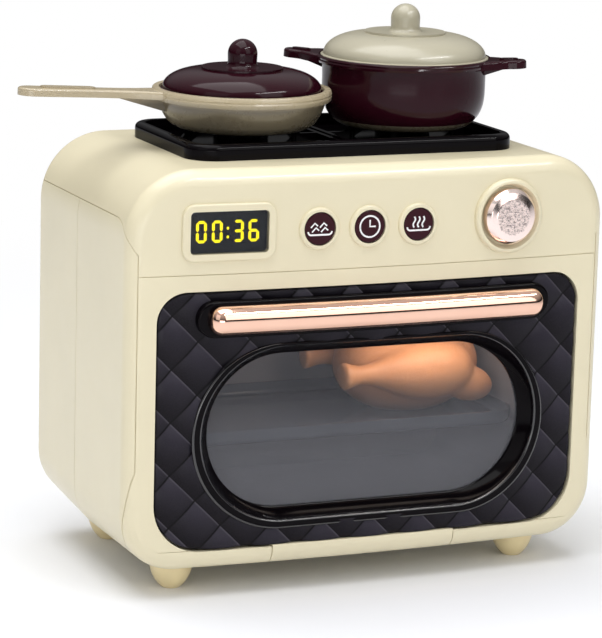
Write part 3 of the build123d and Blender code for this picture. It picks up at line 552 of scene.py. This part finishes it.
def surround():
    """Closed ring mesh, lofted through ovals from the bead over the lip to the pane and back."""
    rings = [(between(BEAD, LIP, share), height, None) for share, height in CROWN]
    rings += [
        (LIP, -0.5, None),
        (between(LIP, CLEAR, 0.12), -1.6, None),
        (wider(CLEAR, 0.7), 0, PANE_FACE - 0.9 * MM),
        (CLEAR, 0, PANE_FACE - 0.5 * MM),
        (CLEAR, 0, PANE_FACE),
        (wider(CLEAR, 3.5), 0, PANE_FACE),
        (BACK, -3.0, None),
    ]
    points, faces = [], []
    for size, height, depth in rings:
        for k in range(WALLS):
            x, z = oval(*size, k)
            front = on_face(x * MM, z * MM, height * MM).translation
            points.append((oven.x + x * MM, front.y if depth is None else depth, z * MM))
    for ring in range(len(rings)):
        faces += strip(ring * WALLS, (ring + 1) % len(rings) * WALLS, WALLS)
    return mesh_of("window surround", points, faces)


def smooth_piece(name, mesh, material, angle):
    """A finished object with one material, smooth except at its real edges."""
    shape = bmesh.new()
    shape.from_mesh(mesh)
    bmesh.ops.recalc_face_normals(shape, faces=shape.faces)
    shape.to_mesh(mesh)
    shape.free()
    mesh.materials.clear()
    mesh.materials.append(material)
    mesh.shade_smooth()
    mesh.set_sharp_from_angle(angle=radians(angle))
    return put(name, mesh)


def welded(node):
    """A copy of a CAD node's mesh, its loose triangles joined."""
    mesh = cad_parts[node].data.copy()
    shape = bmesh.new()
    shape.from_mesh(mesh)
    bmesh.ops.remove_doubles(shape, verts=shape.verts, dist=WELD)
    shape.to_mesh(mesh)
    shape.free()
    return mesh


ring = smooth_piece("window_surround", surround(), black, RING_EDGE)
ring.data.materials.append(polished_black)
for number, face in enumerate(ring.data.polygons):
    if number // WALLS in POLISHED_STRIPS:
        face.material_index = 1
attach(ring, "door")
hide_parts("window_bezel")

CUT_FRONT, CUT_BACK, CUT_PLAY = -90, -20, 0.4
cut = [oval(*wider(CLEAR, CUT_PLAY), k) for k in range(WALLS)]
points = [(oven.x + x * MM, oven.y + y * MM, z * MM) for y in (CUT_FRONT, CUT_BACK) for x, z in cut]
faces = strip(0, WALLS, WALLS) + [tuple(range(WALLS))[::-1], tuple(range(WALLS, 2 * WALLS))]
cutter = smooth_piece("oval cutter", mesh_of("oval cutter", points, faces), black, RING_EDGE)
door_body = smooth_piece("door_body", welded("door_frame"), black, REAL_EDGE)
opening = door_body.modifiers.new("oval opening", "BOOLEAN")
opening.operation, opening.solver, opening.object = "DIFFERENCE", "EXACT", cutter
settle(door_body)
door_body.data.set_sharp_from_angle(angle=radians(REAL_EDGE))
bpy.data.objects.remove(cutter)
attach(door_body, "door")
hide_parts("door_frame")


def smoked(name, colour, alpha, roughness, haze=0.0, low=0.0, high=0.1):
    """Tinted acrylic with a wiped look, and cloudier by haze from the height high down to low."""
    pane = Finish(name)
    wipe = pane.noise(90, 4, 0.6)
    cloud = pane.ramp(pane.height(), high, low, interpolation_type="SMOOTHSTEP")
    return pane.surface(
        Base_Color=pane.mix(wipe, colour, toned(colour, 1.4)),
        Alpha=alpha + haze * cloud,
        Roughness=roughness * (0.7 + 0.6 * wipe),
        IOR=1.49,
    )


pane_skin = smoked("smoked acrylic", linear(102, 102, 108), 0.14, 0.05, 0.34, 45 * MM, 100 * MM)
finish_node(pane_skin, "window_pane")


# ---- Door handle -------------------------------------------------------------------------------
# A plump half-round plastic bar with rounded ends, vacuum-plated in rose gold. It follows the bow
# of the door and is fixed to the black base that stands on the skin.


def plated(name, colour, deep, roughness):
    """Vacuum-plated metal film over plastic, with a faint brushed haze."""
    film = Finish(name)
    return film.surface(
        Base_Color=film.mix(film.noise(60, 5, 0.6), deep, colour),
        Metallic=1.0,
        Roughness=roughness * (0.7 + 0.6 * film.noise(700, 3)),
        Normal=film.bump(film.noise(160, 2), 0.02, 0.2 * MM),
    )


rose_gold = plated("rose gold plating", linear(246, 206, 184), linear(240, 192, 168), 0.06)
HANDLE_Z, HANDLE_HALF, BAR_HALF, BAR_BASE, BAR_STEP, BAR_RISE = 131.4, 83.3, 6.8, 3.9, 1.3, 5.9
END_CORNER, END_ROUND, ARC, ROUND_PARTS, BAR_PARTS, GRIP_EDGE = 5.6, 6.0, 28, 12, 24, 50
quarter = [k / ROUND_PARTS * pi / 2 for k in range(ROUND_PARTS + 1)]
stations = [HANDLE_HALF - END_ROUND * (1 - cos(turn)) for turn in quarter]
stations += [(HANDLE_HALF - END_ROUND) * (1 - k / BAR_PARTS) for k in range(1, BAR_PARTS)] + [0]
stations += [-x for x in stations[-2::-1]]
points, faces = [], []
for x in stations:
    left = min(HANDLE_HALF - abs(x), END_ROUND)
    full = sqrt(max(0.0, 1 - (1 - left / END_ROUND) ** 2))
    half, rise = BAR_HALF - END_CORNER * (1 - full), BAR_RISE * full
    turns = [k * pi / ARC for k in range(ARC + 1)]
    arch = [(half * cos(turn), BAR_BASE + BAR_STEP + rise * sin(turn)) for turn in turns]
    arch = [(half, BAR_BASE), *arch, (-half, BAR_BASE)]
    points += [on_face(x * MM, (HANDLE_Z + z) * MM, out * MM).translation for z, out in arch]
size = len(arch)
for start in range(0, len(points) - size, size):
    faces += strip(start, start + size, size)
faces += [tuple(range(size)), tuple(range(len(points) - size, len(points)))]
grip = smooth_piece("door_grip", mesh_of("door handle", points, faces), rose_gold, GRIP_EDGE)
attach(grip, "door")
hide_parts("door_handle")


# ---- Oven cavity -------------------------------------------------------------------------------
# An open-fronted moulded grey box, with a ledge on each side that carries the darker tray. A
# small domed lamp in frosted plastic is let through its ceiling and lights it.
cavity_grey = moulded("cavity grey plastic", linear(132, 130, 132), 0.4, mottle=0.05)
tray_grey = moulded("tray grey plastic", linear(78, 84, 92), 0.16, mottle=0.05)
frosted = moulded("frosted lamp plastic", linear(240, 232, 205), 0.5)
finish_node(cavity_grey, "oven_liner")
finish_node(tray_grey, "oven_tray")
finish_node(frosted, "oven_lamp")
LAMP_PLACE = (oven.x + 40 * MM, oven.y - 50 * MM, 122 * MM)
LAMP_AIM, LAMP_WATTS, LAMP_COLOUR = (0.0, 40.0, -36.0), 0.036, (1.0, 0.84, 0.72)
glow = bpy.data.lights.new("oven lamp glow", "AREA")
glow.shape, glow.size, glow.size_y = "RECTANGLE", 80 * MM, 20 * MM
glow.energy, glow.color = LAMP_WATTS, LAMP_COLOUR
glow_place = put("oven lamp glow", glow)
glow_place.location = LAMP_PLACE
glow_place.rotation_euler = Vector(LAMP_AIM).to_track_quat("-Z", "Y").to_euler()


# ---- Roast -------------------------------------------------------------------------------------
# A soft-vinyl chicken that lies loose in the tray. It is moulded in one skin with soft folds and
# painted in golden browns that deepen in spots.
roast_skin = Finish("roast vinyl")
crisp = roast_skin.noise(420, 4, 0.65)
golden = roast_skin.mix(roast_skin.noise(38, 5, 0.6), linear(206, 136, 88), linear(234, 174, 124))
roast_vinyl = roast_skin.surface(
    Base_Color=roast_skin.mix(crisp**3 * 0.6, golden, linear(150, 84, 48)),
    Roughness=0.34 + 0.25 * crisp,
    Normal=roast_skin.bump(crisp + 0.4 * roast_skin.noise(1500, 2), 0.35, 0.6 * MM),
)
FLESH_GRAIN, SOFTNESS, SOFT_ROUNDS = 1.3 * MM, 0.6, 9
chicken = put("roast", welded("roast_chicken"))
flesh = chicken.modifiers.new("one skin", "REMESH")
flesh.mode, flesh.voxel_size = "VOXEL", FLESH_GRAIN
soften = chicken.modifiers.new("soft folds", "SMOOTH")
soften.factor, soften.iterations = SOFTNESS, SOFT_ROUNDS
settle(chicken)
chicken.data.materials.clear()
chicken.data.materials.append(roast_vinyl)
chicken.data.shade_smooth()
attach(chicken, "roast_chicken")
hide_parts("roast_chicken")


# ---- Readout -----------------------------------------------------------------------------------
# A smoked lens in a cream bezel of the roof moulding, over a dark module that is fixed behind it
# and shows four lit seven-segment figures.
module_skin = Finish("readout module")
sheen = module_skin.mix(module_skin.noise(30, 2), linear(10, 12, 18), linear(26, 32, 44))
finish_node(module_skin.surface(Base_Color=sheen, Roughness=0.3), "display_module")
finish_node(smoked("readout lens", linear(20, 24, 32), 0.3, 0.06), "display_lens")
figure_skin = Finish("lit yellow")
figure_glow = figure_skin.mix(figure_skin.noise(500, 1), linear(255, 240, 0), linear(255, 228, 0))
lit = figure_skin.surface(
    Base_Color=linear(250, 235, 10),
    Emission_Color=figure_glow,
    Emission_Strength=1.15,
    Roughness=0.4,
)
DISPLAY_X, DISPLAY_Z, FIGURE_DEPTH = -73.2 * MM, 170.8 * MM, 2.3 * MM
FIGURE_WIDTH, FIGURE_HEIGHT = 5.1 * MM, 10.2 * MM
STROKE, STROKE_GAP, THICKNESS = 1.35 * MM, 0.2 * MM, 0.12 * MM
DOT, DOT_TIP, DOTS = 1.3 * MM, 0.35 * MM, ((-0.1, -2.6), (-0.1, 1.4))
SEGMENTS = {
    "top": (0, 1, 0),
    "middle": (0, 0, 0),
    "bottom": (0, -1, 0),
    "upper left": (-1, 0.5, 1),
    "upper right": (1, 0.5, 1),
    "lower left": (-1, -0.5, 1),
    "lower right": (1, -0.5, 1),
}
LIT_PARTS = {
    "0": ("top", "bottom", "upper left", "upper right", "lower left", "lower right"),
    "3": ("top", "middle", "bottom", "upper right", "lower right"),
    "6": ("top", "middle", "bottom", "upper left", "lower left", "lower right"),
}


def bar(length, width, tip):
    """A flat bar with pointed or blunt ends, as one closed mesh lying in X and Y."""
    half, side = length / 2, width / 2
    run = half - tip
    rim = [(half, 0), (run, side), (-run, side), (-half, 0), (-run, -side), (run, -side)]
    points = [(x, y, z) for z in (0, THICKNESS) for x, y in rim]
    return points, [(5, 4, 3, 2, 1, 0), (6, 7, 8, 9, 10, 11), *strip(0, 6, 6)]


READING, FIGURE_X = "0036", (-12.6, -5.1, 4.9, 12.2)
marks = []
for figure, x in zip(READING, FIGURE_X):
    for name in LIT_PARTS[figure]:
        across, up, upright = SEGMENTS[name]
        length = ((FIGURE_HEIGHT - STROKE) / 2 if upright else FIGURE_WIDTH - STROKE) - STROKE_GAP
        spot = x * MM + across * (FIGURE_WIDTH - STROKE) / 2, up * (FIGURE_HEIGHT - STROKE) / 2
        marks.append((bar(length, STROKE, STROKE / 2), spot, upright))
marks += [(bar(DOT, DOT, DOT_TIP), (x * MM, y * MM), 0) for x, y in DOTS]
points, faces = [], []
for (corners, sides), spot, upright in marks:
    turn = Matrix.Rotation(pi / 2 if upright else 0, 4, "Z")
    faces += [[k + len(points) for k in side] for side in sides]
    points += [tuple(turn @ Vector(corner) + Vector((*spot, 0))) for corner in corners]
mesh = mesh_of("figures", points, faces)
mesh.transform(on_face(DISPLAY_X, DISPLAY_Z, -FIGURE_DEPTH))
mesh.materials.append(lit)
figures = put("readout_figures", mesh)
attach(figures, "housing")


# ---- Keys --------------------------------------------------------------------------------------
# Three round key caps moulded in burgundy, which slide in cream collars, each with a stem to its
# own sprung push switch. A generic sign is printed on each in white.
burgundy = moulded(
    "burgundy plastic", linear(54, 12, 24), 0.22, coat=0.05, peel=0.1, mottle=0.08, shine=0.15
)
finish_node(burgundy, "button_roast", "button_timer", "button_steam")
print_skin = Finish("white print")
ink = print_skin.mix(print_skin.noise(900, 3), linear(236, 236, 238), linear(255, 255, 255))
white_print = print_skin.surface(Base_Color=ink, Roughness=0.5)
KEY_Z, KEY_TOP, INK_HEIGHT, LINE, FINE_LINE = 170.8 * MM, 1.2 * MM, 0.16, 0.85, 0.75


def stroke(points, width=LINE, closed=False):
    """Printed line: a flat ribbon along points in the key's own X and Y, in millimetres."""
    curve = bpy.data.curves.new("stroke", "CURVE")
    curve.dimensions = "3D"
    line = curve.splines.new("POLY")
    line.points.add(len(points) - 1)
    for spot, (x, y) in zip(line.points, points):
        spot.co = (x * MM, y * MM, 0, 1)
    line.use_cyclic_u = closed
    curve.bevel_depth = width / 2 * MM
    curve.bevel_resolution = 1
    curve.use_fill_caps = True
    holder = put("stroke", curve)
    ribbon = worked(holder)
    bpy.data.objects.remove(holder)
    ribbon.transform(Matrix.Diagonal((1, 1, INK_HEIGHT, 1)))
    return ribbon


def arc(x, y, radius, start, end, count=14):
    turns = [radians(start + (end - start) * k / count) for k in range(count + 1)]
    return [(x + radius * cos(t), y + radius * sin(t)) for t in turns]


dish = arc(-4.2, -1.2, 1.6, 180, 270) + arc(4.2, -1.2, 1.6, 270, 360)
peaks = ((-4.5, 0.6), (-0.1, 0.6), (-3.9, -1.5), (0.5, -1.5))
hills = [[(x, y), (x + 1.9, y + 2.0), (x + 3.4, y + 0.7)] for x, y in peaks]
clock = arc(0, 0, 4.9, 0, 360, 40)[:-1]
wave = [(0.55 * sin(k / 12 * 2 * pi), 3.6 - k * 0.42) for k in range(13)]
plumes = [[(x + dx, y) for dx, y in wave] for x in (-2.3, 0, 2.3)]
signs = {
    "roast": (-30.2, [stroke(dish)] + [stroke(hill, FINE_LINE) for hill in hills]),
    "timer": (-5.6, [stroke(clock, closed=True), stroke([(0, 3.1), (0, 0), (2.9, 0)])]),
    "steam": (19.0, [stroke(dish)] + [stroke(plume) for plume in plumes]),
}
for name, (x, ribbons) in signs.items():
    whole = bmesh.new()
    for ribbon in ribbons:
        whole.from_mesh(ribbon)
    mesh = bpy.data.meshes.new(f"sign {name}")
    whole.to_mesh(mesh)
    whole.free()
    mesh.transform(on_face(x * MM, KEY_Z, KEY_TOP))
    mesh.materials.clear()
    mesh.materials.append(white_print)
    sign = put(f"sign_{name}", mesh)
    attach(sign, f"button_{name}")


# ---- Knob --------------------------------------------------------------------------------------
# A plated plastic cap whose hub grips the switch spindle, so that they turn together. It has a
# bevelled edge and a sloping ring round a face whose plating is finely hammered. Its dents are
# painted darker, a painted reflection of dark surroundings.
KNOB_X, KNOB_Z, KNOB_TOP, DISC_R, DISC_FADE = 66.2 * MM, 172.2 * MM, 5.6, 8.2 * MM, 0.8 * MM
PROFILE = (
    (4.0, KNOB_TOP),
    (8.6, KNOB_TOP),
    (8.75, 5.55),
    (11.3, 5.0),
    (11.5, 4.9),
    (12.9, 3.6),
    (13.1, 3.3),
    (13.2, 2.8),
    (13.2, 0.2),
    (11.8, 0.2),
    (11.8, 3.4),
    (3.4, 3.6),
    (3.4, -0.6),
)
TURNS, CAP_EDGE = 96, 14
cap_skin = Finish("knob plating with painted dent reflections")
axis = {0: cap_skin.place, 1: on_face(KNOB_X, KNOB_Z, KNOB_TOP * MM).translation}
from_axis = cap_skin.node("ShaderNodeVectorMath", {"operation": "DISTANCE"}, axis, out=1)
on_disc = cap_skin.ramp(from_axis, DISC_R + DISC_FADE, DISC_R)
hammer = cap_skin.noise(620, 3, 0.7)
# Painted reflection: the hammered dents on the face are painted darker, for the dark things they
# mirror.
painted_dent_reflection = cap_skin.ramp(hammer, 0.5, 0.64)
cap_finish = cap_skin.surface(
    Base_Color=cap_skin.mix(painted_dent_reflection * on_disc * 0.8, linear(250, 230, 222), linear(116, 104, 104)),
    Metallic=1.0,
    Roughness=0.1 + 0.1 * hammer,
    Normal=cap_skin.bump(hammer * on_disc, 0.5, 0.5 * MM),
)
rim = [(cos(2 * pi * k / TURNS), sin(2 * pi * k / TURNS)) for k in range(TURNS)]
points = [(0, 0, KNOB_TOP * MM)]
for r, out in PROFILE:
    points += [(r * MM * x, r * MM * y, out * MM) for x, y in rim]
points.append((0, 0, PROFILE[-1][1] * MM))
last = len(points) - 1
faces = [(0, 1 + k, 1 + (k + 1) % TURNS) for k in range(TURNS)]
for here in range(1, last - TURNS, TURNS):
    faces += [(a, d, c, b) for a, b, c, d in strip(here, here + TURNS, TURNS)]
faces += [(last, last - TURNS + (k + 1) % TURNS, last - TURNS + k) for k in range(TURNS)]
mesh = mesh_of("knob cap", points, faces)
mesh.transform(on_face(KNOB_X, KNOB_Z))
cap = smooth_piece("knob_plated_cap", mesh, cap_finish, CAP_EDGE)
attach(cap, "knob")
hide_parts("knob_cap")


# ---- Works behind the panel --------------------------------------------------------------------
# A green circuit board with one push switch under each key, the knob's steel spindle in its black
# rotary switch, a round speaker against the sound slots, and sleeved cells between plated
# contacts.
board_skin = Finish("circuit board")
tracks = {"Vector": board_skin.place, "Scale": 60.0}
copper = board_skin.node("ShaderNodeTexBrick", {}, tracks, out=1)
board = board_skin.surface(
    Base_Color=board_skin.mix(copper, linear(18, 74, 46), linear(36, 110, 66)),
    Roughness=0.3 + 0.2 * board_skin.noise(400, 2),
)
finish_node(board, "control_board")
finish_node(moulded("cell sleeve", linear(52, 96, 62), 0.4, mottle=0.1), "batteries")
finish_node(black, "rotary_switch", "speaker")
finish_node(steel, "knob_spindle", "battery_contacts")


# ---- Back --------------------------------------------------------------------------------------
# The cream battery cover is let into the rear wall and held by one screw through its tab. Plated
# pan-head screws hold the housing together from behind.
finish_node(cream, "battery_cover")
finish_node(steel, "rear_screws", "battery_screw")


# ---- Hob ---------------------------------------------------------------------------------------
# A shallow black gloss plate with a thick rounded rim, fixed on the roof, with two pan supports
# and two stepped burner caps of the same plastic set in it.
finish_node(black, "hob_tray", "grate_left", "grate_right", "burner_left", "burner_right")


# ---- Cookware ----------------------------------------------------------------------------------
# A taupe frying pan with a burgundy lid and a burgundy pot with a pale taupe lid, which stand
# loose on the pan supports. Each has a clip-on taupe base ring. The taupe carries painted shade:
# below a set height, towards the foot, its colour is painted darker.
# Painted shade: taupe below this height is painted darker, as if shadowed over the black hob.
PAINTED_SHADE_HEIGHT = 223.5 * MM
taupe_with_painted_shade = moulded(
    "taupe plastic with painted shade underneath",
    linear(184, 170, 141),
    0.28,
    coat=0.2,
    peel=0.04,
    painted_shade_below=PAINTED_SHADE_HEIGHT,
)
pale_taupe = moulded("pale taupe plastic", linear(178, 172, 150), 0.3, coat=0.2, peel=0.04)
deep_burgundy = moulded(
    "deep burgundy plastic", linear(44, 10, 21), 0.12, coat=0.1, peel=0.05, mottle=0.08, shine=0.12
)
finish_node(taupe_with_painted_shade, "frying_pan", "frying_pan_base", "pot_base")
finish_node(pale_taupe, "pot_lid")
finish_node(deep_burgundy, "pot", "frying_pan_lid")


# ---- Studio ------------------------------------------------------------------------------------
# A pale floor that runs out to white, a sky that is bright overhead and darker at the horizon, and
# large soft boxes. The camera stands left of the middle and a little above the oven.
FLOOR_RADIUS, FADE_START, FADE_END = 14, 0.25, 0.9
floor_skin = Finish("studio floor")
far = floor_skin.node("ShaderNodeVectorMath", {"operation": "LENGTH"}, {0: floor_skin.place}, out=1)
fade = floor_skin.ramp(far, FADE_START, FADE_END, interpolation_type="SMOOTHSTEP")
seen_straight = floor_skin.node("ShaderNodeLightPath")
matt = floor_skin.node("ShaderNodeBsdfDiffuse", {}, {"Color": (0.88, 0.89, 0.92, 1)})
white = floor_skin.node("ShaderNodeEmission", {}, {"Color": (1, 1, 1, 1), "Strength": 1.0})
ground = floor_skin.node("ShaderNodeMixShader", {}, {0: fade * seen_straight, 1: matt, 2: white})
floor_skin.node("ShaderNodeOutputMaterial", {}, {"Surface": ground})
bpy.ops.mesh.primitive_circle_add(vertices=64, radius=FLOOR_RADIUS, fill_type="NGON")
floor = bpy.context.object
floor.name = "studio_floor"
floor.data.materials.append(floor_skin.material)

world = bpy.data.worlds.new("studio sky")
world.use_nodes = True
bpy.context.scene.world = world
sky = Nodes(world.node_tree)
direction = sky.node("ShaderNodeTexCoord", out=0)
height = sky.node("ShaderNodeSeparateXYZ", {}, {0: direction}, out=2)
SKY_STOPS = [
    (0.0, (0.5, 0.5, 0.5, 1)),
    (0.5, (0.02, 0.02, 0.02, 1)),
    (0.55, (0.03, 0.03, 0.03, 1)),
    (0.64, (0.34, 0.34, 0.35, 1)),
    (0.9, (1, 1, 1, 1)),
]
tone = sky.node("ShaderNodeValToRGB", {"stops": SKY_STOPS}, {0: height * 0.5 + 0.5})
dome = sky.node("ShaderNodeBackground", {}, {"Color": tone, "Strength": 0.65})
plain_white = sky.node("ShaderNodeBackground", {}, {"Color": (1, 1, 1, 1), "Strength": 1.0})
straight = sky.node("ShaderNodeLightPath")
backdrop = sky.node("ShaderNodeMixShader", {}, {0: straight, 1: dome, 2: plain_white})
sky.node("ShaderNodeOutputWorld", {}, {"Surface": backdrop})


def soft_box(name, place, target, size, power):
    """A rectangular lamp at a place, turned to a target. Sizes are in metres, power in watts."""
    lamp = bpy.data.lights.new(name, "AREA")
    lamp.shape, lamp.size, lamp.size_y, lamp.energy = "RECTANGLE", *size, power
    holder = put(name, lamp)
    holder.location = place
    holder.rotation_euler = (Vector(target) - Vector(place)).to_track_quat("-Z", "Y").to_euler()
    return holder


middle, foot = (oven.x, oven.y, 0.12), (oven.x, oven.y, 0.05)
soft_box("overhead box", (-0.2, 0.0, 1.5), middle, (1.6, 1.2), 19.5)
soft_box("front box", (0.7, -1.7, 1.0), middle, (1.2, 1.2), 7.5)
soft_box("left box", (-1.6, -0.9, 0.9), middle, (1.2, 1.2), 2.8)
soft_box("low fill box", (-0.7, -1.6, 0.16), foot, (1.2, 0.28), 3.9)
edge_strip = soft_box("edge strip", (0.6, -1.0, 1.5), middle, (1.3, 0.08), 16)
edge_strip.visible_diffuse = False

LENS_PIXELS, FRAME_WIDTH, SENSOR = 3064.88, 602, 36.0
AZIMUTH, ELEVATION, ROLL = -23.41, 11.87, 1.57
CAMERA_PLACE = Vector((-580.1, -1322.4, 416.1)) * MM
eye = bpy.data.cameras.new("camera")
eye.sensor_fit, eye.sensor_width = "HORIZONTAL", SENSOR
eye.lens = LENS_PIXELS * SENSOR / FRAME_WIDTH
eye.clip_end = 50
camera = put("camera", eye)
aim = Matrix.Rotation(radians(AZIMUTH), 4, "Z") @ Matrix.Rotation(radians(90 - ELEVATION), 4, "X")
roll = Matrix.Rotation(radians(ROLL), 4, "Z")
camera.matrix_world = Matrix.Translation(oven + CAMERA_PLACE) @ aim @ roll
bpy.context.scene.camera = camera
bpy.context.scene.view_settings.view_transform = "Standard"
